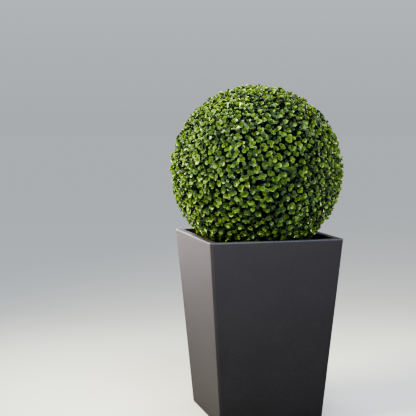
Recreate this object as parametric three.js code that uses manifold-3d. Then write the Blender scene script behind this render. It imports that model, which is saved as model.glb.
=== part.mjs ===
// Box ball in a tapered square planter.
// A clipped evergreen shrub: one round mass of small spoon-shaped leaves on a short hidden stem,
// planted in a dark planter with a thick plain rim. Millimetres, +Z up.
// The origin is the middle of the planter's flat underside, and the planter's sides face X and Y.
import * as THREE from "three";
import { mergeVertices } from "three/addons/utils/BufferGeometryUtils.js";
import Module from "manifold-3d";

const wasm = await Module();
wasm.setup();

// Planter
const planterHeight = 610;
const rimSide = 450; // outside, at the top
const footSide = 350; // outside, at the ground
const rimWall = 25; // width of the flat rim
const footWall = 20; // wall at the floor, thinner than at the rim
const floorThickness = 25;
const cornerRadius = 10; // the four upright edges
const rimEdge = 3; // rounding of the rim's and the foot's outer edges
const drainRadius = 7;
const drainSpacing = 150; // between the four drain holes

// Compost and stem
const compostDepth = 85; // from the rim down to the compost
const seatGap = 0.3; // between pieces that rest on or in each other
const stemRadius = 17; // above the root flare
const stemForkRadius = 14; // at the fork, inside the ball
const flareSpread = 16; // how far the root flare adds to the stem's radius at the compost
const flareHeight = 26; // over which the flare dies away
const flareLobes = 5;
const stemHeight = 165;
const stemLean = 7; // sideways, from the foot to the fork

// Ball
const ballRadius = 291.5; // to the furthest leaf tips
const ballCentreHeight = 823;
const coreRadius = 266; // the dense middle that the shoots stand out of
const coreRelief = 4; // how uneven the core is
const shootCount = 130;
const shootRoot = 18; // how deep a shoot starts inside the core
const shootRadius = 4; // at the root, thinner at the tip
const shootTipRadius = 3;
const shootLean = 0.3; // radians, the most that a shoot leans from straight out
const clipDepth = 6; // how far below the clipped surface a shoot may end
const leafLength = 37;
const leafWidth = 30;
const leafThickness = 2.6;
const leafDish = 3.4; // how far the blade's sides curl towards the shoot's tip
const leafRoot = 1.2; // how far a blade's narrow end reaches past its twig's middle
const leafStagger = 2.5; // between the two leaves of a pair, so that their roots don't cross
// The leaf pairs on a shoot, from the tip down. Each pair stands crosswise to the next.
const leafPairs = [
  { below: 3, spread: 0.52, size: 0.9 },
  { below: 14, spread: 1.02, size: 1.0 },
];
const leafClearance = 4; // from the planter and the compost
const mergeTolerance = 0.2; // slivers where solids cross that are smaller than this are merged away
const seed = 20817;

const compostTop = planterHeight - compostDepth;
const ballCentre = new THREE.Vector3(0, 0, ballCentreHeight);
const goldenAngle = Math.PI * (3 - Math.sqrt(5));

// Numbers from 0 to 1 that are the same on every run.
function seededRandom(start) {
  let state = start >>> 0;
  return () => {
    state = (state + 0x6d2b79f5) >>> 0;
    let t = Math.imul(state ^ (state >>> 15), state | 1);
    t ^= t + Math.imul(t ^ (t >>> 7), t | 61);
    return ((t ^ (t >>> 14)) >>> 0) / 4294967296;
  };
}

// A closed geometry as a solid that can be joined and cut.
function toSolid(geometry) {
  const bare = geometry.index ? geometry.toNonIndexed() : geometry.clone();
  bare.deleteAttribute("normal");
  bare.deleteAttribute("uv");
  const merged = mergeVertices(bare, 1e-4);
  const mesh = new wasm.Mesh({
    numProp: 3,
    vertProperties: new Float32Array(merged.attributes.position.array),
    triVerts: new Uint32Array(merged.index.array),
  });
  return new wasm.Manifold(mesh);
}

function toGeometry(solid) {
  const mesh = solid.getMesh();
  const geometry = new THREE.BufferGeometry();
  geometry.setAttribute("position", new THREE.BufferAttribute(mesh.vertProperties, mesh.numProp));
  geometry.setIndex(new THREE.BufferAttribute(mesh.triVerts, 1));
  geometry.computeVertexNormals();
  return geometry;
}

// Moves every vertex of a geometry by a function that changes a Vector3 in place.
function reshape(geometry, change) {
  const position = geometry.attributes.position;
  const point = new THREE.Vector3();
  for (let i = 0; i < position.count; i++) {
    point.fromBufferAttribute(position, i);
    change(point);
    position.setXYZ(i, point.x, point.y, point.z);
  }
  position.needsUpdate = true;
  return geometry;
}

function roundedSquare(side, radius) {
  const flat = side / 2 - radius;
  const shape = new THREE.Shape();
  shape.moveTo(-flat, -side / 2);
  shape.lineTo(flat, -side / 2);
  shape.absarc(flat, -flat, radius, -Math.PI / 2, 0);
  shape.lineTo(side / 2, flat);
  shape.absarc(flat, flat, radius, 0, Math.PI / 2);
  shape.lineTo(-flat, side / 2);
  shape.absarc(-flat, flat, radius, Math.PI / 2, Math.PI);
  shape.lineTo(-side / 2, -flat);
  shape.absarc(-flat, -flat, radius, Math.PI, 1.5 * Math.PI);
  return shape;
}

// A square block from low to high whose side changes evenly with height.
function taperedBlock({ low, high, sideAt, radius, edge = 0 }) {
  const reference = sideAt(high);
  const geometry = new THREE.ExtrudeGeometry(roundedSquare(reference, radius), {
    depth: high - low - 2 * edge,
    steps: 1,
    curveSegments: 4,
    bevelEnabled: edge > 0,
    bevelThickness: edge,
    bevelSize: edge,
    bevelOffset: -edge,
    bevelSegments: 2,
  });
  return reshape(geometry, (p) => {
    p.z += low + edge;
    const share = sideAt(p.z) / reference;
    p.x *= share;
    p.y *= share;
  });
}

const outerSideAt = (z) => THREE.MathUtils.mapLinear(z, 0, planterHeight, footSide, rimSide);
const wallAt = (z) => THREE.MathUtils.mapLinear(z, floorThickness, planterHeight, footWall, rimWall);
const innerSideAt = (z) => outerSideAt(z) - 2 * wallAt(z);

function planterGeometry() {
  const pastRim = 20; // the cutter reaches past the rim
  const outside = taperedBlock({
    low: 0,
    high: planterHeight,
    sideAt: outerSideAt,
    radius: cornerRadius,
    edge: rimEdge,
  });
  const inside = taperedBlock({
    low: floorThickness,
    high: planterHeight + pastRim,
    sideAt: innerSideAt,
    radius: cornerRadius - rimEdge,
  });
  let solid = toSolid(outside).subtract(toSolid(inside));
  for (const sx of [-1, 1]) {
    for (const sy of [-1, 1]) {
      const hole = new THREE.CylinderGeometry(drainRadius, drainRadius, 3 * floorThickness, 20);
      hole.rotateX(Math.PI / 2);
      hole.translate((sx * drainSpacing) / 2, (sy * drainSpacing) / 2, 0);
      solid = solid.subtract(toSolid(hole));
    }
  }
  return toGeometry(solid);
}

function compostGeometry() {
  return taperedBlock({
    low: floorThickness + seatGap,
    high: compostTop,
    sideAt: (z) => innerSideAt(z) - 2 * seatGap,
    radius: cornerRadius - rimEdge,
  });
}

// The stem leans a little as it rises, and spreads in lobes where it meets the compost.
function stemAxis(height) {
  const t = height / stemHeight;
  return { x: stemLean * t * t, y: -0.5 * stemLean * t };
}

function stemGeometry(clearance) {
  const sides = 20;
  const geometry = new THREE.CylinderGeometry(1, 1, stemHeight + clearance, sides, 9);
  geometry.rotateX(Math.PI / 2);
  geometry.translate(0, 0, (stemHeight + clearance) / 2);
  return reshape(geometry, (p) => {
    const onAxis = Math.hypot(p.x, p.y) < 0.5;
    const angle = Math.atan2(p.y, p.x);
    const t = Math.min(p.z / stemHeight, 1);
    const taper = THREE.MathUtils.lerp(stemRadius, stemForkRadius, t);
    const lobe = 0.65 + 0.35 * Math.cos(flareLobes * angle);
    const flare = flareSpread * lobe * Math.exp(-p.z / flareHeight);
    const radius = onAxis ? 0 : taper + flare + clearance;
    const axis = stemAxis(p.z);
    p.x = axis.x + radius * Math.cos(angle);
    p.y = axis.y + radius * Math.sin(angle);
    p.z += compostTop + seatGap;
  });
}

function coreGeometry() {
  return reshape(new THREE.IcosahedronGeometry(coreRadius, 4), (p) => {
    const wave = Math.sin(p.x / 41) + Math.sin(p.y / 37 + 1) + Math.sin(p.z / 43 + 2);
    p.setLength(coreRadius + (coreRelief * wave) / 3).add(ballCentre);
  });
}

// A blade with a narrow root, widest past its middle, dished towards +Z.
function leafGeometry(size) {
  const length = leafLength * size;
  const half = (leafWidth * size) / 2;
  const rise = leafDish * size;
  const outline = [
    [0, 0, 0],
    [0.6 * length, -half, rise],
    [length, 0, 0.6 * rise],
    [0.6 * length, half, rise],
  ];
  const back = [0.5 * length, 0, -leafThickness];
  const front = [0.55 * length, 0, 0];
  const triangles = [];
  outline.forEach((corner, i) => {
    const next = outline[(i + 1) % outline.length];
    triangles.push(...front, ...corner, ...next);
    triangles.push(...back, ...next, ...corner);
  });
  const geometry = new THREE.BufferGeometry();
  geometry.setAttribute("position", new THREE.Float32BufferAttribute(triangles, 3));
  return geometry.translate(-leafRoot, 0, 0);
}

// The points of a geometry, as vectors.
function pointsOf(geometry) {
  const position = geometry.attributes.position;
  return Array.from({ length: position.count }, (_, i) => new THREE.Vector3().fromBufferAttribute(position, i));
}

// True if a piece is inside the clipped ball, above the compost and clear of the planter.
function fits(geometry) {
  return pointsOf(geometry).every((point) => {
    if (point.distanceTo(ballCentre) > ballRadius + 0.1) return false;
    if (point.z < compostTop + leafClearance) return false;
    const room = innerSideAt(Math.min(point.z, planterHeight)) / 2 - leafClearance;
    const low = point.z < planterHeight + leafClearance;
    return !low || Math.max(Math.abs(point.x), Math.abs(point.y)) < room;
  });
}

// One shoot on +Z: a three-sided twig, and pairs of leaves set crosswise up to its tip.
function shootPieces(length, leaves) {
  const twig = new THREE.CylinderGeometry(shootTipRadius, shootRadius, length, 3);
  twig.rotateX(Math.PI / 2);
  twig.translate(0, 0, length / 2);
  const blades = leaves.map(({ size, spread, turn, below }) => {
    const leaf = leafGeometry(size);
    // The blade lies along +X with its dished face up: tipped towards the shoot's tip, then turned round it.
    leaf.rotateY(spread - Math.PI / 2);
    leaf.rotateZ(turn);
    return leaf.translate(0, 0, length - below);
  });
  return [twig, ...blades];
}

// A shoot rooted in the core, as long as brings its furthest leaf tip to the clipped surface.
function shootSolids(direction, random) {
  const tilt = new THREE.Vector3(random() - 0.5, random() - 0.5, random() - 0.5).cross(direction).normalize();
  const axis = direction.clone().applyAxisAngle(tilt, shootLean * random());
  const root = direction.clone().multiplyScalar(coreRadius - shootRoot).add(ballCentre);
  const stand = new THREE.Quaternion().setFromUnitVectors(new THREE.Vector3(0, 0, 1), axis);
  const place = new THREE.Matrix4().compose(root, stand, new THREE.Vector3(1, 1, 1));
  const firstTurn = random() * Math.PI;
  const leaves = leafPairs.flatMap((pair, level) =>
    [0, 1].map((side) => ({
      size: pair.size * (0.92 + 0.14 * random()),
      spread: pair.spread * (0.85 + 0.3 * random()),
      turn: firstTurn + (level * Math.PI) / 2 + side * Math.PI,
      below: pair.below + side * leafStagger,
    })),
  );
  const reach = ballRadius - clipDepth * random();
  let length = ballRadius - coreRadius;
  let pieces = [];
  for (let pass = 0; pass < 5; pass++) {
    pieces = shootPieces(length, leaves).map((part) => part.applyMatrix4(place));
    const tips = pieces.flatMap(pointsOf).map((point) => point.distanceTo(ballCentre));
    length += reach - Math.max(...tips);
  }
  return fits(pieces[0]) ? pieces.filter(fits).map(toSolid) : [];
}

// The clipped mass: shoots spread evenly by the golden angle over the core, all fused into one body.
function ballGeometry() {
  const random = seededRandom(seed);
  let mass = toSolid(coreGeometry());
  for (let i = 0; i < shootCount; i++) {
    const height = 1 - (2 * (i + 0.5)) / shootCount;
    const flat = Math.sqrt(1 - height * height);
    const direction = new THREE.Vector3(
      flat * Math.cos(i * goldenAngle),
      flat * Math.sin(i * goldenAngle),
      height,
    );
    for (const solid of shootSolids(direction, random)) mass = mass.add(solid);
  }
  const socketed = mass.subtract(toSolid(stemGeometry(seatGap)));
  return toGeometry(socketed.simplify(mergeTolerance));
}

function material(color, roughness) {
  return new THREE.MeshStandardMaterial({ color, roughness, metalness: 0 });
}

function piece(name, geometry, look) {
  const mesh = new THREE.Mesh(geometry, look);
  mesh.name = name;
  return mesh;
}

const graphite = material(0x2c2b2f, 0.55);
const peat = material(0x241a13, 0.95);
const bark = material(0x6b5a45, 0.9);
const boxLeaf = material(0x4f7a26, 0.5);

const boxBall = new THREE.Group();
boxBall.name = "box_ball_in_planter";
boxBall.add(piece("planter", planterGeometry(), graphite));
boxBall.add(piece("compost", compostGeometry(), peat));
boxBall.add(piece("stem", stemGeometry(0), bark));
boxBall.add(piece("clipped_ball", ballGeometry(), boxLeaf));

export default boxBall;
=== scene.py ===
import math

import bmesh
import bpy
import numpy as np
from mathutils import Matrix, Vector, noise


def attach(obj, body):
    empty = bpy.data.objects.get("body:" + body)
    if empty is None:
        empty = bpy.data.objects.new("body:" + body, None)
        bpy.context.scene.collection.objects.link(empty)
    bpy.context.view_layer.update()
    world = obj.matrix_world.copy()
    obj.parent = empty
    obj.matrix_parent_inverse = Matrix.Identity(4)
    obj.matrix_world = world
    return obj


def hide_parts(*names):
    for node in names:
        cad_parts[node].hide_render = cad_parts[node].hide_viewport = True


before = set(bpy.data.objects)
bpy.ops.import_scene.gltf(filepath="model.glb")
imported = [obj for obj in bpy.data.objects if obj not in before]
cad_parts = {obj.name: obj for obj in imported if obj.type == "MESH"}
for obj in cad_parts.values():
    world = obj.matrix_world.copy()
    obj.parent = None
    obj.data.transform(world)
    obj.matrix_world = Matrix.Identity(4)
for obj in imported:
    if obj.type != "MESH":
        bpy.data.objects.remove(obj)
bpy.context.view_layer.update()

# A box ball in a tapered square planter. Metres, +Z up, the planter's foot on the ground at the origin.
goldenAngle = math.pi * (3 - math.sqrt(5))


# Helpers for meshes.

def smoothFaces(mesh, sharpAngle):
    mesh.polygons.foreach_set("use_smooth", [True] * len(mesh.polygons))
    mesh.set_sharp_from_angle(angle=math.radians(sharpAngle))


def finishPiece(name, mesh, materials, nodes, sharpAngle=None):
    piece = bpy.data.objects.new(name, mesh)
    bpy.context.scene.collection.objects.link(piece)
    for material in materials:
        mesh.materials.append(material)
    if sharpAngle is not None:
        smoothFaces(mesh, sharpAngle)
    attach(piece, "root")
    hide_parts(*nodes)
    print("made", name, sum(len(p.vertices) - 2 for p in mesh.polygons), "triangles")
    return piece


def meshFromBmesh(name, bm):
    bmesh.ops.recalc_face_normals(bm, faces=bm.faces)
    mesh = bpy.data.meshes.new(name)
    bm.to_mesh(mesh)
    bm.free()
    return mesh


def applyModifiers(piece):
    depsgraph = bpy.context.evaluated_depsgraph_get()
    mesh = bpy.data.meshes.new_from_object(piece.evaluated_get(depsgraph))
    piece.modifiers.clear()
    old, piece.data = piece.data, mesh
    bpy.data.meshes.remove(old)


# One small mesh as arrays, for joinCopies: its points, triangles, material slots and flat X, Y as uv.
def templateFromMesh(mesh):
    mesh.calc_loop_triangles()
    points = np.array([v.co[:] for v in mesh.vertices])
    triangles = np.array([t.vertices[:] for t in mesh.loop_triangles])
    slots = np.array([t.material_index for t in mesh.loop_triangles])
    flat = points[triangles.reshape(-1)][:, :2]
    bpy.data.meshes.remove(mesh)
    return points, triangles, slots, flat


# Many copies of one small template as a single mesh. Each copy has its own 4 by 4 matrix.
def joinCopies(name, template, matrices):
    points, triangles, slots, uvs = template
    count, each = len(matrices), len(points)
    homogeneous = np.concatenate([points, np.ones((each, 1))], axis=1)
    placed = np.einsum("nij,pj->npi", matrices[:, :3, :], homogeneous).reshape(-1, 3)
    corners = (triangles[None] + (np.arange(count) * each)[:, None, None]).reshape(-1)
    return meshFromArrays(name, placed, corners, np.tile(slots, count), np.tile(uvs, (count, 1)))


def meshFromArrays(name, points, corners, slots=None, uvs=None):
    mesh = bpy.data.meshes.new(name)
    mesh.vertices.add(len(points))
    mesh.vertices.foreach_set("co", np.asarray(points, dtype=np.float32).ravel())
    mesh.loops.add(len(corners))
    mesh.loops.foreach_set("vertex_index", np.asarray(corners, dtype=np.int32))
    mesh.polygons.add(len(corners) // 3)
    mesh.polygons.foreach_set("loop_start", np.arange(0, len(corners), 3, dtype=np.int32))
    if slots is not None:
        mesh.polygons.foreach_set("material_index", np.asarray(slots, dtype=np.int32))
    mesh.update(calc_edges=True)
    if uvs is not None:
        layer = mesh.uv_layers.new(name="leaf")
        layer.uv.foreach_set("vector", np.asarray(uvs, dtype=np.float32).ravel())
    return mesh


# The same corners and slots as the given meshes, which are used up.
def joinMeshes(name, meshes):
    bm = bmesh.new()
    for mesh in meshes:
        bm.from_mesh(mesh)
        bpy.data.meshes.remove(mesh)
    joined = bpy.data.meshes.new(name)
    bm.to_mesh(joined)
    bm.free()
    return joined


# The arrays of several tubes as one pair of arrays.
def joinArrays(pieces):
    points, corners, offset = [], [], 0
    for p, c in pieces:
        points.append(p)
        corners.append(c + offset)
        offset += len(p)
    return np.concatenate(points), np.concatenate(corners)


def unit(vectors):
    return vectors / np.maximum(np.linalg.norm(vectors, axis=-1, keepdims=True), 1e-12)


# Helpers for materials.

def newMaterial(name):
    material = bpy.data.materials.new(name)
    material.use_nodes = True
    tree = material.node_tree
    return material, tree, tree.nodes["Principled BSDF"]


def addNode(tree, kind, **inputs):
    node = tree.nodes.new(kind)
    for key, value in inputs.items():
        node.inputs[key.replace("_", " ")].default_value = value
    return node


def newGroup(name, inputs, outputs):
    group = bpy.data.node_groups.new(name, "ShaderNodeTree")
    for label, kind, value in inputs:
        socket = group.interface.new_socket(label, in_out="INPUT", socket_type=kind)
        socket.default_value = value
    for label, kind in outputs:
        group.interface.new_socket(label, in_out="OUTPUT", socket_type=kind)
    return group, group.nodes.new("NodeGroupInput"), group.nodes.new("NodeGroupOutput")


def useGroup(tree, group, **values):
    node = tree.nodes.new("ShaderNodeGroup")
    node.node_tree = group
    for key, value in values.items():
        node.inputs[key.replace("_", " ")].default_value = value
    return node


# a and b are numbers or sockets.
def mathNode(tree, operation, a, b=None, clamp=False):
    node = tree.nodes.new("ShaderNodeMath")
    node.operation = operation
    node.use_clamp = clamp
    for socket, value in zip(node.inputs, (a, b)):
        if value is None:
            continue
        if isinstance(value, (int, float)):
            socket.default_value = value
        else:
            tree.links.new(value, socket)
    return node.outputs[0]


def mixColours(tree, factor, a, b):
    node = tree.nodes.new("ShaderNodeMix")
    node.data_type = "RGBA"
    factorSocket = node.inputs[0]
    colourA, colourB = [s for s in node.inputs if s.type == "RGBA"]
    for socket, value in ((factorSocket, factor), (colourA, a), (colourB, b)):
        if isinstance(value, bpy.types.NodeSocket):
            tree.links.new(value, socket)
        else:
            socket.default_value = value
    return [s for s in node.outputs if s.type == "RGBA"][0]


def addBump(tree, shader, height, strength, distance):
    bump = addNode(tree, "ShaderNodeBump", Strength=strength, Distance=distance)
    tree.links.new(height, bump.inputs["Height"])
    tree.links.new(bump.outputs["Normal"], shader.inputs["Normal"])


# The roughness is lowest where mask is 0 and rises by rise where it is 1.
def varyRoughness(tree, shader, mask, rise, lowest):
    rough = mathNode(tree, "MULTIPLY_ADD", mask, rise)
    rough.node.inputs[2].default_value = lowest
    tree.links.new(rough, shader.inputs["Roughness"])


# Two sizes of noise over the object's own coordinates: a mask of patches and a height of grains.
def buildMottleGroup():
    group, start, end = newGroup(
        "mottleAndGrain",
        [("Patch Scale", "NodeSocketFloat", 6.0), ("Grain Scale", "NodeSocketFloat", 300.0),
         ("Low", "NodeSocketFloat", 0.35), ("High", "NodeSocketFloat", 0.65)],
        [("Patches", "NodeSocketFloat"), ("Grain", "NodeSocketFloat")],
    )
    place = group.nodes.new("ShaderNodeTexCoord")
    patches = addNode(group, "ShaderNodeTexNoise", Detail=5.0, Roughness=0.6)
    grain = addNode(group, "ShaderNodeTexNoise", Detail=3.0, Roughness=0.65)
    for textureNode, label in ((patches, "Patch Scale"), (grain, "Grain Scale")):
        group.links.new(place.outputs["Object"], textureNode.inputs["Vector"])
        group.links.new(start.outputs[label], textureNode.inputs["Scale"])
    ramp = addNode(group, "ShaderNodeMapRange")
    group.links.new(patches.outputs["Fac"], ramp.inputs["Value"])
    group.links.new(start.outputs["Low"], ramp.inputs["From Min"])
    group.links.new(start.outputs["High"], ramp.inputs["From Max"])
    group.links.new(ramp.outputs["Result"], end.inputs["Patches"])
    group.links.new(grain.outputs["Fac"], end.inputs["Grain"])
    return group


mottleGroup = buildMottleGroup()


# Planter.

planterSizes = {
    "height": 0.610, "rimSide": 0.450, "footSide": 0.350, "rimWall": 0.025, "footWall": 0.020,
    "floor": 0.025, "cornerRound": 0.010, "innerRound": 0.007, "rimRound": 0.0035, "footRound": 0.003,
    "loopSplit": 0.012, "drainRadius": 0.007, "drainSpacing": 0.150,
}
planterLook = {
    # foot and rim: the clay darkens towards the foot as painted shade
    "foot": (0.0120, 0.0107, 0.0120, 1), "rim": (0.0285, 0.0249, 0.0277, 1),
    "dust": (0.052, 0.045, 0.046, 1), "dustShare": 0.12, "patchShare": 0.2,
    # the next line's colour is a painted highlight on the rim's rounded outer edge; its band also carries a
    # higher gloss
    "paintedEdgeHighlight": (0.038, 0.037, 0.050, 1), "highlightFrom": 0.0052, "highlightTo": 0.0032,
    "roughness": 0.50, "gloss": 0.14, "edgeGloss": 0.66, "grainHeight": 0.0006,
}


# Half the width of the planter's outside, and of its inside, at height z.
def outerHalf(z):
    s = planterSizes
    return (s["footSide"] + (s["rimSide"] - s["footSide"]) * z / s["height"]) / 2


def innerHalf(z):
    s = planterSizes
    share = (z - s["floor"]) / (s["height"] - s["floor"])
    return outerHalf(z) - (s["footWall"] + (s["rimWall"] - s["footWall"]) * share)


def edgesWhere(bm, test):
    return [e for e in bm.edges if test(*(v.co for v in e.verts))]


def roundEdges(bm, edges, size, segments):
    bmesh.ops.bevel(bm, geom=edges, offset=size, offset_type="OFFSET", segments=segments,
                    profile=0.5, affect="EDGES", material=-1, clamp_overlap=True)


def buildPlanter():
    s = planterSizes
    bm = bmesh.new()
    bmesh.ops.create_cube(bm, size=1.0)
    for v in bm.verts:
        z = s["height"] if v.co.z > 0 else 0.0
        half = outerHalf(z)
        v.co = (math.copysign(half, v.co.x), math.copysign(half, v.co.y), z)
    top = max(bm.faces, key=lambda f: f.calc_center_median().z)
    bmesh.ops.inset_region(bm, faces=[top], thickness=s["rimWall"], use_even_offset=True)
    floorFace = bmesh.ops.extrude_discrete_faces(bm, faces=[top])["faces"][0]
    for v in floorFace.verts:
        half = innerHalf(s["floor"])
        v.co = (math.copysign(half, v.co.x), math.copysign(half, v.co.y), s["floor"])
    # upright edges first, then the loops round the rim and the foot
    steep = edgesWhere(bm, lambda a, b: abs(a.z - b.z) > 0.3)
    outer = [e for e in steep if min(v.co.z for v in e.verts) < 0.001]
    inner = [e for e in steep if e not in outer]
    roundEdges(bm, outer, s["cornerRound"], 7)
    inner = [e for e in inner if e.is_valid]
    roundEdges(bm, inner, s["innerRound"], 5)

    # edges less than loopSplit inside the outer face are the outer loop, the others the inner one
    def levelLoop(z, inside):
        limit = outerHalf(z) - s["loopSplit"]
        return edgesWhere(bm, lambda a, b: abs(a.z - z) < 1e-5 and abs(b.z - z) < 1e-5
                          and (max(abs(a.x), abs(a.y)) < limit) == inside)

    roundEdges(bm, levelLoop(s["height"], False), s["rimRound"], 4)
    roundEdges(bm, levelLoop(s["height"], True), s["rimRound"], 4)
    roundEdges(bm, levelLoop(0.0, False), s["footRound"], 3)
    mesh = meshFromBmesh("planterShell", bm)
    piece = finishPiece("planterShell", mesh, [planterMaterial], ["planter"])

    holes = bmesh.new()
    for sx in (-1, 1):
        for sy in (-1, 1):
            place = Matrix.Translation((sx * s["drainSpacing"] / 2, sy * s["drainSpacing"] / 2, 0))
            bmesh.ops.create_cone(holes, cap_ends=True, segments=24, radius1=s["drainRadius"],
                                  radius2=s["drainRadius"], depth=4 * s["floor"], matrix=place)
    cutter = bpy.data.objects.new("drainHoles", meshFromBmesh("drainHoles", holes))
    bpy.context.scene.collection.objects.link(cutter)
    cut = piece.modifiers.new("drain", "BOOLEAN")
    cut.operation, cut.solver, cut.object = "DIFFERENCE", "EXACT", cutter
    applyModifiers(piece)
    bpy.data.objects.remove(cutter)
    smoothFaces(piece.data, 50)
    even = piece.modifiers.new("evenShading", "WEIGHTED_NORMAL")
    even.keep_sharp = True
    applyModifiers(piece)
    return piece


def buildPlanterMaterial():
    look = planterLook
    material, tree, shader = newMaterial("graphiteClay")
    broad = useGroup(tree, mottleGroup, Patch_Scale=5.0, Grain_Scale=420.0, Low=0.3, High=0.7)
    fine = useGroup(tree, mottleGroup, Patch_Scale=150.0, Grain_Scale=1500.0, Low=0.40, High=0.68)
    # painted shade: the clay is painted darker towards the foot, where less light falls, and lighter towards
    # the rim; random patches make the change uneven
    place = tree.nodes.new("ShaderNodeTexCoord")
    parts = tree.nodes.new("ShaderNodeSeparateXYZ")
    tree.links.new(place.outputs["Object"], parts.inputs[0])
    rise = mathNode(tree, "DIVIDE", parts.outputs["Z"], planterSizes["height"])
    centred = mathNode(tree, "SUBTRACT", broad.outputs["Patches"], 0.5)
    patchy = mathNode(tree, "MULTIPLY", centred, look["patchShare"])
    shadeFade = mathNode(tree, "ADD", rise, patchy, clamp=True)
    base = mixColours(tree, shadeFade, look["foot"], look["rim"])
    speck = mathNode(tree, "MULTIPLY", fine.outputs["Patches"], look["dustShare"])
    dusty = mixColours(tree, speck, base, look["dust"])
    # painted highlight: the rim's rounded outer edge, near the top and the outer face at once, is painted
    # paler, and made glossier too
    side = mathNode(tree, "MAXIMUM", mathNode(tree, "ABSOLUTE", parts.outputs["X"]),
                    mathNode(tree, "ABSOLUTE", parts.outputs["Y"]))
    away = mathNode(tree, "SUBTRACT", planterSizes["height"] + planterSizes["rimSide"] / 2,
                    mathNode(tree, "ADD", parts.outputs["Z"], side))
    edge = addNode(tree, "ShaderNodeMapRange", From_Min=look["highlightFrom"], From_Max=look["highlightTo"])
    tree.links.new(away, edge.inputs["Value"])
    colour = mixColours(tree, edge.outputs["Result"], dusty, look["paintedEdgeHighlight"])
    tree.links.new(colour, shader.inputs["Base Color"])
    gloss = addNode(tree, "ShaderNodeMapRange", To_Min=look["gloss"], To_Max=look["edgeGloss"])
    tree.links.new(edge.outputs["Result"], gloss.inputs["Value"])
    tree.links.new(gloss.outputs["Result"], shader.inputs["Specular IOR Level"])
    varyRoughness(tree, shader, broad.outputs["Grain"], 0.25, look["roughness"] - 0.1)
    fineGrain = mathNode(tree, "MULTIPLY", fine.outputs["Grain"], 0.5)
    height = mathNode(tree, "ADD", broad.outputs["Grain"], fineGrain)
    addBump(tree, shader, height, 0.5, look["grainHeight"])
    return material


planterMaterial = buildPlanterMaterial()
buildPlanter()


# Compost.

compostSizes = {
    "top": 0.525, "gap": 0.0003, "wallGap": 0.001, "relief": 0.004, "cells": 64,
    "chips": 520, "chipLength": 0.021, "chipFromWall": 0.016, "chipFromStem": 0.045,
}


def buildCompost():
    s = compostSizes
    floorZ = planterSizes["floor"] + s["gap"]
    topHalf = innerHalf(s["top"]) - s["wallGap"]
    bm = bmesh.new()
    bmesh.ops.create_grid(bm, x_segments=s["cells"], y_segments=s["cells"], size=topHalf)
    rim = [e for e in bm.edges if e.is_boundary]
    for v in bm.verts:
        lump = noise.fractal(v.co * 55, 0.6, 2.0, 4)
        v.co.z = s["top"] - s["relief"] + s["relief"] * max(-1, min(1, 1.3 * lump))
    walls = bmesh.ops.extrude_edge_only(bm, edges=rim)["geom"]
    low = [v for v in walls if isinstance(v, bmesh.types.BMVert)]
    share = (innerHalf(floorZ) - s["wallGap"]) / topHalf
    for v in low:
        v.co = (v.co.x * share, v.co.y * share, floorZ)
    bmesh.ops.edgeloop_fill(bm, edges=[e for e in bm.edges if e.is_boundary])
    mesh = meshFromBmesh("compostBed", bm)
    return finishPiece("compostBed", mesh, [compostMaterial], ["compost"], 60)


# Bark chips lie on the compost, each a block that narrows to one end.
def buildChips():
    s = compostSizes
    rng = np.random.default_rng(411)
    bm = bmesh.new()
    bmesh.ops.create_cube(bm, size=1.0)
    for v in bm.verts:
        if v.co.x > 0:
            v.co.y *= 0.55
            v.co.z *= 0.6
    template = templateFromMesh(meshFromBmesh("chip", bm))
    room = innerHalf(s["top"]) - s["chipFromWall"]
    matrices = []
    while len(matrices) < s["chips"]:
        x, y = rng.uniform(-room, room, 2)
        if math.hypot(x, y) < s["chipFromStem"]:
            continue
        length = s["chipLength"] * rng.uniform(0.5, 1.15)
        turn = Matrix.Rotation(rng.uniform(0, math.tau), 4, "Z")
        turn = turn @ Matrix.Rotation(rng.uniform(-0.3, 0.3), 4, "Y")
        size = Matrix.Diagonal((length, length * rng.uniform(0.25, 0.5), length * rng.uniform(0.1, 0.22), 1))
        z = s["top"] - 0.002 + rng.uniform(-0.0015, 0.0025)
        matrices.append(np.array(Matrix.Translation((x, y, z)) @ turn @ size))
    joined = joinCopies("barkChips", template, np.array(matrices))
    return finishPiece("barkChips", joined, [chipMaterial], ["compost"], 20)


def buildEarthMaterial(name, dark, pale, grainScale, height):
    material, tree, shader = newMaterial(name)
    mottle = useGroup(tree, mottleGroup, Patch_Scale=90.0, Grain_Scale=grainScale, Low=0.35, High=0.65)
    tree.links.new(mixColours(tree, mottle.outputs["Patches"], dark, pale), shader.inputs["Base Color"])
    shader.inputs["Roughness"].default_value = 0.92
    addBump(tree, shader, mottle.outputs["Grain"], 0.8, height)
    return material


# Dark and pale colour, scale of the grain and its height.
compostMaterial = buildEarthMaterial(
    "pottingCompost", (0.010, 0.007, 0.005, 1), (0.035, 0.024, 0.016, 1), 600, 0.002)
chipMaterial = buildEarthMaterial(
    "shreddedBark", (0.045, 0.026, 0.015, 1), (0.12, 0.075, 0.045, 1), 900, 0.0008)
buildCompost()
buildChips()


# Stem and boughs.

stemSizes = {
    "foot": 0.5253, "height": 0.165, "radius": 0.017, "forkRadius": 0.014, "flareSpread": 0.016,
    "flareHeight": 0.026, "flareLobes": 5, "lean": 0.007, "ridge": 0.0011, "sides": 40, "rings": 44,
}


# The stem leans a little as it rises, as its solid does.
def stemAxis(height):
    s = stemSizes
    t = height / s["height"]
    return Vector((s["lean"] * t * t, -0.5 * s["lean"] * t, s["foot"] + height))


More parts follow.
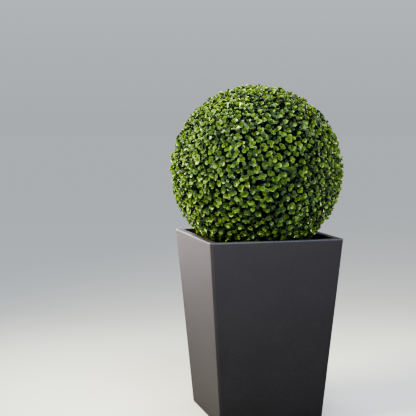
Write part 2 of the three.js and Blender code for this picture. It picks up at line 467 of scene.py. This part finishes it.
def buildStem():
    s = stemSizes
    rings = s["rings"]
    bm = bmesh.new()
    bmesh.ops.create_circle(bm, segments=s["sides"], radius=1.0)
    levels = [list(bm.verts)]
    edges = list(bm.edges)
    for _ in range(rings):
        grown = bmesh.ops.extrude_edge_only(bm, edges=edges)["geom"]
        edges = [g for g in grown if isinstance(g, bmesh.types.BMEdge) and g.is_boundary]
        levels.append([g for g in grown if isinstance(g, bmesh.types.BMVert)])
    for i, level in enumerate(levels):
        height = s["height"] * i / rings
        t = height / s["height"]
        for v in level:
            angle = math.atan2(v.co.y, v.co.x)
            lobe = 0.65 + 0.35 * math.cos(s["flareLobes"] * angle)
            flare = s["flareSpread"] * lobe * math.exp(-height / s["flareHeight"])
            spot = Vector((3.2 * math.cos(angle), 3.2 * math.sin(angle), height * 28))
            ridge = noise.fractal(spot, 0.7, 2.1, 4)
            radius = s["radius"] + (s["forkRadius"] - s["radius"]) * t + flare + s["ridge"] * (ridge - 0.6)
            v.co = stemAxis(height) + Vector((math.cos(angle), math.sin(angle), 0)) * radius
    for z in (levels[0][0].co.z, levels[-1][0].co.z):
        loop = [e for e in bm.edges if e.is_boundary and abs(e.verts[0].co.z - z) < 1e-6]
        bmesh.ops.edgeloop_fill(bm, edges=loop)
    return finishPiece("stemBark", meshFromBmesh("stemBark", bm), [barkMaterial], ["stem"], 60)


# Tubes along paths. paths is (tubes, rings, 3) and radii is (tubes, rings); ends are closed.
def tubeArrays(paths, radii, sides, roughen=0.0):
    count, rings = radii.shape
    tangent = unit(np.gradient(paths, axis=1))
    helper = np.where(np.abs(tangent[..., 2:3]) > 0.9, np.array([1.0, 0, 0]), np.array([0, 0, 1.0]))
    across = unit(np.cross(helper, tangent))
    other = np.cross(tangent, across)
    angle = np.arange(sides) * math.tau / sides
    ring = across[:, :, None] * np.cos(angle)[:, None] + other[:, :, None] * np.sin(angle)[:, None]
    wave = 1 + roughen * np.sin(angle * 3 + np.arange(rings)[:, None] * 1.7)[None]
    shell = paths[:, :, None] + ring * (radii[:, :, None] * wave)[..., None]
    points = np.concatenate([shell.reshape(count, rings * sides, 3), paths[:, :1], paths[:, -1:]], axis=1)
    faces = []
    for j in range(rings - 1):
        for k in range(sides):
            a, b = j * sides + k, j * sides + (k + 1) % sides
            faces += [(a, b, b + sides), (a, b + sides, a + sides)]
    foot, tip = rings * sides, rings * sides + 1
    for k in range(sides):
        nextSide = (k + 1) % sides
        faces += [(foot, nextSide, k), (tip, (rings - 1) * sides + k, (rings - 1) * sides + nextSide)]
    each = points.shape[1]
    corners = (np.array(faces)[None] + (np.arange(count) * each)[:, None, None]).reshape(-1)
    return points.reshape(-1, 3), corners


# Bark with cracks that run lengthwise. height is the depth of the cracks.
def buildBarkMaterial(name, dark, pale, height):
    material, tree, shader = newMaterial(name)
    place = tree.nodes.new("ShaderNodeTexCoord")
    stretch = addNode(tree, "ShaderNodeMapping", Scale=(1.0, 1.0, 0.3))
    tree.links.new(place.outputs["Object"], stretch.inputs["Vector"])
    cracks = addNode(tree, "ShaderNodeTexVoronoi", Scale=230.0)
    cracks.feature = "DISTANCE_TO_EDGE"
    tree.links.new(stretch.outputs["Vector"], cracks.inputs["Vector"])
    mottle = useGroup(tree, mottleGroup, Patch_Scale=60.0, Grain_Scale=900.0, Low=0.35, High=0.65)
    tree.links.new(mixColours(tree, mottle.outputs["Patches"], dark, pale), shader.inputs["Base Color"])
    shader.inputs["Roughness"].default_value = 0.85
    depth = mathNode(tree, "ADD", mathNode(tree, "MINIMUM", cracks.outputs["Distance"], 0.15),
                     mathNode(tree, "MULTIPLY", mottle.outputs["Grain"], 0.1))
    addBump(tree, shader, depth, 0.9, height)
    return material


barkMaterial = buildBarkMaterial("boxBark", (0.10, 0.075, 0.05, 1), (0.24, 0.195, 0.14, 1), 0.004)
twigMaterial = buildBarkMaterial("greenTwig", (0.07, 0.085, 0.03, 1), (0.16, 0.17, 0.07, 1), 0.0006)
buildStem()


# Shoots: the source's rule, with more and finer ones.

ballSizes = {
    "centre": (0.0, 0.0, 0.823), "radius": 0.2915, "clipDepth": 0.013, "clearance": 0.004,
    "shoots": 1480, "jitter": 0.07, "lean": 0.24, "upward": 0.05, "leafyLength": 0.098,
}
ballCentre = np.array(ballSizes["centre"])
upAxis = np.array([0, 0, 1.0])


# Directions spread evenly by the golden angle, as the source spreads its shoots.
def goldenDirections(count, rng, jitter):
    i = np.arange(count)
    height = 1 - 2 * (i + 0.5) / count
    flat = np.sqrt(1 - height**2)
    even = np.stack([flat * np.cos(i * goldenAngle), flat * np.sin(i * goldenAngle), height], axis=1)
    spacing = math.sqrt(4 * math.pi / count)
    return unit(even + rng.normal(0, jitter * spacing, (count, 3)))


# For each target direction, which source direction lies nearest.
def nearest(targets, sources):
    return np.argmax(targets @ sources.T, axis=1)


def growShoots():
    s = ballSizes
    rng = np.random.default_rng(20817)
    out = goldenDirections(s["shoots"], rng, s["jitter"])
    tilt = unit(np.cross(rng.normal(0, 1, out.shape), out))
    lean = np.tan(s["lean"] * rng.random((len(out), 1)))
    axis = unit(out + tilt * lean + s["upward"] * upAxis)
    reach = s["radius"] - s["clipDepth"] * rng.random(len(out)) ** 1.5
    turn = rng.random(len(out)) * math.pi
    return {"out": out, "axis": axis, "reach": reach, "turn": turn, "rng": rng}


# Leaf pairs on a shoot from the tip down: distance below the tip, spread from the shoot, length.
budPair = [(-0.0010, 0.42, 0.0080)]
leafPairs = [(0.0000, 0.72, 0.0124), (0.0048, 1.08, 0.0160), (0.0132, 1.30, 0.0158)]
innerPairs = [
    (0.0235, 1.28, 0.0168), (0.0340, 1.34, 0.0178), (0.0450, 1.38, 0.0195), (0.0600, 1.40, 0.0215),
    (0.0760, 1.42, 0.0235),
]
# How far single leaves stray from that, and how far their faces turn to the outside and up.
leafHabit = {
    "turn": 0.24, "spread": 0.14, "length": 0.10, "along": 0.05, "face": 0.14, "width": 0.07,
    "faceOut": 0.15, "faceUp": 0.04,
}


def growLeaves(shoots, pairs):
    h = leafHabit
    rng = shoots["rng"]
    count = len(shoots["out"])
    axis, out = shoots["axis"], shoots["out"]
    across = unit(np.cross(axis, np.array([0.31, 0.17, 0.93])))
    other = np.cross(axis, across)
    rows = []
    for level, (below, spread, length) in enumerate(pairs):
        for side in (0, 1):
            turn = shoots["turn"] + level * math.pi / 2 + side * math.pi + rng.normal(0, h["turn"], count)
            lean = spread * (1 + rng.normal(0, h["spread"], count))
            size = length * (1 + rng.normal(0, h["length"], count))
            away = across * np.cos(turn)[:, None] + other * np.sin(turn)[:, None]
            along = axis * np.cos(lean)[:, None] + away * np.sin(lean)[:, None]
            face = axis * np.sin(lean)[:, None] - away * np.cos(lean)[:, None]
            face = face + h["faceOut"] * out + h["faceUp"] * upAxis + rng.normal(0, h["face"], (count, 3))
            along = unit(along + rng.normal(0, h["along"], (count, 3)))
            face = unit(face - along * np.sum(face * along, axis=1, keepdims=True))
            rows.append({
                "shoot": np.arange(count), "level": np.full(count, level), "below": np.full(count, below),
                "along": along, "face": face, "size": size, "shape": rng.integers(0, 3, count),
                "width": 1 + rng.normal(0, h["width"], count),
            })
    return {key: np.concatenate([row[key] for row in rows]) for key in rows[0]}


# Each shoot is as long as brings its furthest leaf tip to its reach: a first guess, then four corrections.
def settleShoots(shoots, leaves):
    firstDepth = 0.012
    tip = shoots["out"] * (shoots["reach"] - firstDepth)[:, None]
    for _ in range(4):
        ends = (tip[leaves["shoot"]] - shoots["axis"][leaves["shoot"]] * leaves["below"][:, None]
                + leaves["along"] * leaves["size"][:, None])
        furthest = np.zeros(len(tip))
        np.maximum.at(furthest, leaves["shoot"], np.linalg.norm(ends, axis=1))
        tip = tip + shoots["axis"] * (shoots["reach"] - furthest)[:, None]
    shoots["tip"] = tip + ballCentre


# Whether points lie clear of the planter's wall and rim and of the compost.
def isClear(points):
    z = points[..., 2]
    top, clearance = planterSizes["height"], ballSizes["clearance"]
    reach = np.maximum(np.abs(points[..., 0]), np.abs(points[..., 1]))
    inside = (z > top + clearance) | (reach < innerHalf(np.minimum(z, top)) - 0.5 * clearance)
    return inside & (z > compostSizes["top"] + clearance)


# Each leaf's matrix, and whether the leaf is kept: clear of the planter and within the clipped ball.
def leafMatrices(shoots, leaves):
    root = shoots["tip"][leaves["shoot"]] - shoots["axis"][leaves["shoot"]] * leaves["below"][:, None]
    size = leaves["size"][:, None]
    matrices = np.zeros((len(root), 4, 4))
    matrices[:, :3, 0] = leaves["along"] * size
    matrices[:, :3, 1] = np.cross(leaves["face"], leaves["along"]) * size * leaves["width"][:, None]
    matrices[:, :3, 2] = leaves["face"] * size
    matrices[:, :3, 3] = root
    matrices[:, 3, 3] = 1
    end = root + leaves["along"] * size
    within = np.linalg.norm(end - ballCentre, axis=1) < ballSizes["radius"] + 0.0005
    return matrices, isClear(root) & isClear(end) & within


# In shares of a leaf's length. Each shape is how far its sides cup, its rib sinks and its tip bends up.
bladeSizes = {
    "half": 0.44, "stalk": 0.13, "neck": 0.38, "neckEnd": 0.45, "bendFrom": 0.45, "crown": 0.03,
    "thickness": 0.075, "margin": 0.080, "segments": 12, "plainSegments": 9,
}
bladeShapes = [(0.24, 0.02, 0.46), (0.16, 0.03, 0.26), (0.28, 0.03, 0.36)]
plainShape = (0.08, 0.02, 0.15)


# A round spoon-shaped blade on a short stalk, one unit long on +X, its face to +Z.
# Its slots are blade, margin and underside; a plain one has no margin and fewer faces.
def leafTemplate(cup, fold, bowl, plain=False):
    b = bladeSizes
    half, stalk = b["half"], b["stalk"]
    segments = b["plainSegments"] if plain else b["segments"]
    bm = bmesh.new()
    bmesh.ops.create_circle(bm, cap_ends=True, segments=segments, radius=0.5,
                            matrix=Matrix.Rotation(math.pi / 2, 4, "Z"))
    for v in bm.verts:
        t = v.co.x + 0.5
        neck = min(1.0, b["neck"] + (1 - b["neck"]) * t / b["neckEnd"])
        v.co = (stalk + (1 - stalk) * t if t > 0.01 else 0.0, v.co.y * neck * half / 0.5, 0)
    if not plain:
        bmesh.ops.inset_region(bm, faces=bm.faces[:], thickness=b["margin"], use_boundary=True,
                               use_even_offset=True)
    blade = max(bm.faces, key=lambda f: len(f.verts))
    ends = sorted(blade.verts, key=lambda v: v.co.x)
    rib = bmesh.ops.connect_verts(bm, verts=[ends[0], ends[-1]])["edges"]
    bmesh.ops.subdivide_edges(bm, edges=rib, cuts=1)
    edge = [e for e in bm.edges if e.is_boundary]
    rim = {v for e in edge for v in e.verts}
    for v in bm.verts:
        r = min(1.0, abs(v.co.y) / half)
        onRib = abs(v.co.y) < 1e-5 and v not in rim
        along = max(0.0, v.co.x - b["bendFrom"])
        crown = 0 if v in rim else b["crown"]
        v.co.z = cup * r * r + bowl * along * along + crown - (fold if onRib else 0)
    for f in bm.faces:
        f.material_index = 1 if not plain and any(e.is_boundary for e in f.edges) else 0
    middle = min(bm.verts, key=lambda v: (v.co.x - 0.55) ** 2 + v.co.y**2).co.copy()
    under = bmesh.ops.edgeloop_fill(bm, edges=edge)["faces"]
    for f in under:
        f.material_index = 2
    low = bmesh.ops.poke(bm, faces=under)["verts"][0]
    low.co = (middle.x, 0, middle.z - b["thickness"])
    bmesh.ops.triangulate(bm, faces=bm.faces[:])
    return templateFromMesh(meshFromBmesh("leaf", bm))


leafLook = {"sheen": (0.78, 1.0, 0.66, 1), "gloss": 0.6, "innerGloss": 0.05}


def buildLeafMaterial(name, colour, roughness, vein, gloss):
    material, tree, shader = newMaterial(name)
    shader.inputs["Base Color"].default_value = (*colour, 1)
    shader.inputs["Specular IOR Level"].default_value = gloss
    shader.inputs["Specular Tint"].default_value = leafLook["sheen"]
    mottle = useGroup(tree, mottleGroup, Patch_Scale=240.0, Grain_Scale=1800.0, Low=0.3, High=0.7)
    varyRoughness(tree, shader, mottle.outputs["Patches"], 0.12, roughness - 0.06)
    addBump(tree, shader, mottle.outputs["Grain"], 0.25, vein)
    return material


# Plain colours of the sprays: blade, margin and underside. The three inner layers, leavesShade and the two
# after it, are painted shade: darker the deeper they lie.
# painted light: in the outer sprays each underside is paler than its blade, standing in for light shining
# through the leaf
sprayTones = {
    "leavesBud": ((0.092, 0.142, 0.018), (0.092, 0.142, 0.018), (0.115, 0.170, 0.020)),
    "leavesLime": ((0.056, 0.098, 0.027), (0.150, 0.218, 0.022), (0.150, 0.215, 0.024)),
    "leavesFresh": ((0.044, 0.080, 0.029), (0.112, 0.166, 0.023), (0.100, 0.152, 0.026)),
    "leavesGrass": ((0.027, 0.050, 0.027), (0.074, 0.112, 0.023), (0.056, 0.088, 0.027)),
    "leavesCool": ((0.016, 0.029, 0.022), (0.037, 0.058, 0.020), (0.024, 0.038, 0.021)),
    "leavesShade": ((0.013, 0.022, 0.012), (0.013, 0.022, 0.012), (0.010, 0.016, 0.009)),
    "leavesDimShade": ((0.005, 0.008, 0.004), (0.005, 0.008, 0.004), (0.004, 0.006, 0.003)),
    "leavesDeepShade": ((0.002, 0.003, 0.002), (0.002, 0.003, 0.002), (0.002, 0.003, 0.002)),
}


def leafTones(name, gloss=leafLook["gloss"]):
    blade, margin, under = sprayTones[name]
    return [buildLeafMaterial(name + "Blade", blade, 0.36, 0.0003, gloss),
            buildLeafMaterial(name + "Margin", margin, 0.46, 0.0003, 0.5 * gloss),
            # the underside's paler colour is painted light shining through
            buildLeafMaterial(name + "Under", under, 0.62, 0.0005, 0.4 * gloss)]


# The tone of each leaf, 0 for the brightest. Every spray has its own. In it the tip pair is two steps
# brighter, the next pair one step brighter and the third two steps darker: the pairs grow darker from the
# tip down, partly because young leaves are paler and partly as painted shade on the pairs that lie deeper. A
# third of the leaves stray by a step.
def dealTones(shoots, leaves):
    rng = shoots["rng"]
    sprayTone = rng.choice(4, len(shoots["out"]), p=[0.04, 0.20, 0.36, 0.40])
    stray = rng.choice(3, len(leaves["level"]), p=[0.17, 0.66, 0.17]) - 1
    step = np.array([2, 1, -2])[leaves["level"]] + stray
    return np.clip(sprayTone[leaves["shoot"]] - step, 0, 3)


def finishLeaves(name, mesh, gloss=leafLook["gloss"]):
    finishPiece(name, mesh, leafTones(name, gloss), ["clipped_ball"], 62)


def buildLeaves(shoots):
    leaves = growLeaves(shoots, leafPairs)
    settleShoots(shoots, leaves)
    matrices, keep = leafMatrices(shoots, leaves)
    tone = dealTones(shoots, leaves)
    templates = [leafTemplate(*shape) for shape in bladeShapes]
    for index, name in enumerate(["leavesLime", "leavesFresh", "leavesGrass", "leavesCool"]):
        parts = []
        for shape, template in enumerate(templates):
            chosen = keep & (tone == index) & (leaves["shape"] == shape)
            parts.append(joinCopies(name, template, matrices[chosen]))
        finishLeaves(name, joinMeshes(name, parts))
    plain = leafTemplate(*plainShape, plain=True)
    matrices, keep = leafMatrices(shoots, growLeaves(shoots, budPair))
    finishLeaves("leavesBud", joinCopies("leavesBud", plain, matrices[keep]))
    inner = growLeaves(shoots, innerPairs)
    matrices, keep = leafMatrices(shoots, inner)
    # painted shade: each deeper inner layer gets a darker colour
    for name, levels in (("leavesShade", (0,)), ("leavesDimShade", (1,)), ("leavesDeepShade", (2, 3, 4))):
        mesh = joinCopies(name, plain, matrices[keep & np.isin(inner["level"], levels)])
        finishLeaves(name, mesh, leafLook["innerGloss"])


# Limbs from the fork outwards. jitter is how far their directions stray from even, reach how far
# from the ball's centre they end, bend how far they bow, and radii are at their start and end.
limbSizes = {
    "bough": {"count": 9, "jitter": 0.12, "reach": 0.082, "bend": 0.012, "radii": (0.0085, 0.0058),
              "rings": 10, "sides": 12, "roughen": 0.05},
    "branch": {"count": 52, "jitter": 0.2, "reach": 0.136, "bend": 0.008, "radii": (0.0052, 0.0030),
               "rings": 7, "sides": 9, "roughen": 0.05},
    "twig": {"count": 300, "jitter": 0.25, "reach": 0.180, "bend": 0.005, "radii": (0.0028, 0.0016),
             "rings": 6, "sides": 7, "roughen": 0.04},
    "shoot": {"bend": 0.003, "radii": (0.0014, 0.0011), "tipRadii": (0.0009, 0.0005),
              "rings": 5, "sides": 5},
    "boughLift": 0.012, "forkSpread": 0.002, "forkDepth": 0.004,
}


# Each limb ends where the next finer ones start, so the whole crown hangs together from the fork.
def buildLimbs(shoots):
    s = limbSizes
    rng = np.random.default_rng(77)
    lift = s["boughLift"] * upAxis
    bough, branch, twig = [
        goldenDirections(s[kind]["count"], rng, s[kind]["jitter"]) for kind in ("bough", "branch", "twig")
    ]
    boughEnd = bough * s["bough"]["reach"] + lift
    branchEnd = branch * s["branch"]["reach"]
    twigEnd = twig * s["twig"]["reach"]
    base = shoots["tip"] - ballCentre - shoots["axis"] * ballSizes["leafyLength"]

    def sway(count, size):
        return rng.normal(0, size, (count, 3))

    def limbs(kind, start, end, raised=0.0):
        r0, r1 = s[kind]["radii"]
        t = np.linspace(0, 1, s[kind]["rings"])[None, :, None]
        control = (start + end) / 2 + (sway(len(start), s[kind]["bend"]) + raised)
        path = start[:, None] * (1 - t) ** 2 + control[:, None] * 2 * t * (1 - t) + end[:, None] * t**2
        radii = r0 + (r1 - r0) * t[..., 0] * np.ones((len(start), 1))
        return path + ballCentre, radii

    def tubes(kind, path, radii):
        return tubeArrays(path, radii, s[kind]["sides"], s[kind].get("roughen", 0.0))

    keptTwig = isClear(twigEnd + ballCentre)
    fork = np.array(stemAxis(stemSizes["height"] - s["forkDepth"])) - ballCentre
    forks = np.repeat(fork[None], len(bough), axis=0) + sway(len(bough), s["forkSpread"])
    pieces = [tubes("bough", *limbs("bough", forks, boughEnd, lift))]
    home = nearest(branch, bough)
    pieces.append(tubes("branch", *limbs("branch", boughEnd[home], branchEnd)))
    home = nearest(twig, branch)
    path, radii = limbs("twig", branchEnd[home], twigEnd)
    pieces.append(tubes("twig", path[keptTwig], radii[keptTwig]))
    mesh = meshFromArrays("boughs", *joinArrays(pieces))
    finishPiece("boughs", mesh, [barkMaterial], ["stem", "clipped_ball"], 60)

    # every shoot springs from the nearest twig that is kept
    kept = isClear(shoots["tip"]) & isClear(base + ballCentre)
    homeTwigs = np.where(keptTwig)[0]
    home = homeTwigs[nearest(shoots["out"], twig[homeTwigs])]
    path, radii = limbs("shoot", twigEnd[home], base)
    end = shoots["tip"][:, None]
    middle = (path[:, -1:] + end) / 2
    path = np.concatenate([path, middle, end], axis=1)
    radii = np.concatenate([radii] + [np.full((len(base), 1), r) for r in s["shoot"]["tipRadii"]], axis=1)
    mesh = meshFromArrays("shootStems", *tubes("shoot", path[kept], radii[kept]))
    finishPiece("shootStems", mesh, [twigMaterial], ["clipped_ball"], 60)


shoots = growShoots()
buildLeaves(shoots)
buildLimbs(shoots)


# Floor, light and camera.

stageLook = {
    "floor": (0.452, 0.450, 0.443, 1), "floorRadius": 60.0, "horizon": (0.439, 0.458, 0.480, 1),
    "zenith": (1.29, 1.353, 1.445, 1), "rise": 1.2, "strength": 0.84,
}
# Soft lamps: place, aim, width and height, power, colour and spread in degrees.
softboxes = {
    "keyLeft": ((-1.9, -0.15, 2.0), (0, 0, 1.0), (1.0, 1.0), 62, (1.0, 0.97, 0.66), 105),
    "edgeLeft": ((-1.35, 2.2, 0.45), (-0.2, 0, 0.24), (1.0, 0.5), 2.4, (1.0, 0.89, 0.96), 38),
    "skyBack": ((-0.5, 2.2, 2.4), (0, 0, 0.85), (2.0, 0.8), 13, (1.0, 0.98, 0.90), 90),
    "rimGlint": ((-0.45, 2.6, 1.35), (-0.2, 0, 0.58), (0.9, 0.35), 1.9, (0.86, 0.91, 1.0), 24),
    "skyFront": ((0.1, -1.5, 2.8), (0, 0, 0.85), (1.3, 1.3), 22, (0.86, 0.94, 1.0), 100),
    "lowFront": ((-0.5, -2.5, 0.45), (0, 0, 0.78), (1.6, 0.7), 16, (0.82, 0.92, 1.0), 90),
    "fillRight": ((2.6, 0.7, 0.9), (0.2, 0, 0.40), (1.4, 1.2), 8, (1.0, 0.96, 0.92), 60),
}
# The camera's turn to the right and its dip are in degrees, its lens in millimetres.
cameraView = {"place": (-1.085, -3.231, 0.995), "turn": 15.832, "down": 5.007, "lens": 87.61}


# One wide level floor, so that the part stands on the same ground in every view.
def buildFloor():
    bm = bmesh.new()
    bmesh.ops.create_circle(bm, cap_ends=True, segments=96, radius=stageLook["floorRadius"])
    floor = bpy.data.objects.new("paleFloor", meshFromBmesh("paleFloor", bm))
    bpy.context.scene.collection.objects.link(floor)
    material, tree, shader = newMaterial("paleGround")
    shader.inputs["Base Color"].default_value = stageLook["floor"]
    shader.inputs["Roughness"].default_value = 0.95
    shader.inputs["Specular IOR Level"].default_value = 0.1
    floor.data.materials.append(material)


# A soft dome: dimmer at the horizon, where it meets the floor's tone, and brighter overhead.
def buildDome():
    world = bpy.data.worlds.new("softDome")
    bpy.context.scene.world = world
    world.use_nodes = True
    tree = world.node_tree
    place = tree.nodes.new("ShaderNodeTexCoord")
    parts = tree.nodes.new("ShaderNodeSeparateXYZ")
    tree.links.new(place.outputs["Generated"], parts.inputs[0])
    height = mathNode(tree, "POWER", mathNode(tree, "MAXIMUM", parts.outputs["Z"], 0.0), stageLook["rise"])
    colour = mixColours(tree, height, stageLook["horizon"], stageLook["zenith"])
    tree.links.new(colour, tree.nodes["Background"].inputs["Color"])
    tree.nodes["Background"].inputs["Strength"].default_value = stageLook["strength"]


def addSoftbox(name, place, aim, size, power, colour, spread):
    light = bpy.data.lights.new(name, "AREA")
    light.shape = "RECTANGLE"
    light.size, light.size_y = size
    light.energy = power
    light.color = colour
    light.spread = math.radians(spread)
    lamp = bpy.data.objects.new(name, light)
    bpy.context.scene.collection.objects.link(lamp)
    lamp.visible_camera = False
    lamp.location = place
    lamp.rotation_euler = (Vector(aim) - Vector(place)).to_track_quat("-Z", "Y").to_euler()


def addCamera():
    view = cameraView
    camera = bpy.data.cameras.new("viewCamera")
    camera.lens = view["lens"]
    camera.sensor_width = 36.0
    holder = bpy.data.objects.new("viewCamera", camera)
    bpy.context.scene.collection.objects.link(holder)
    holder.location = view["place"]
    holder.rotation_euler = (math.radians(90 - view["down"]), 0, -math.radians(view["turn"]))
    bpy.context.scene.camera = holder


buildFloor()
buildDome()
for name, values in softboxes.items():
    addSoftbox(name, *values)
addCamera()
bpy.context.scene.view_settings.view_transform = "AgX"
bpy.context.scene.view_settings.look = "AgX - High Contrast"
print("stage, light and camera set")
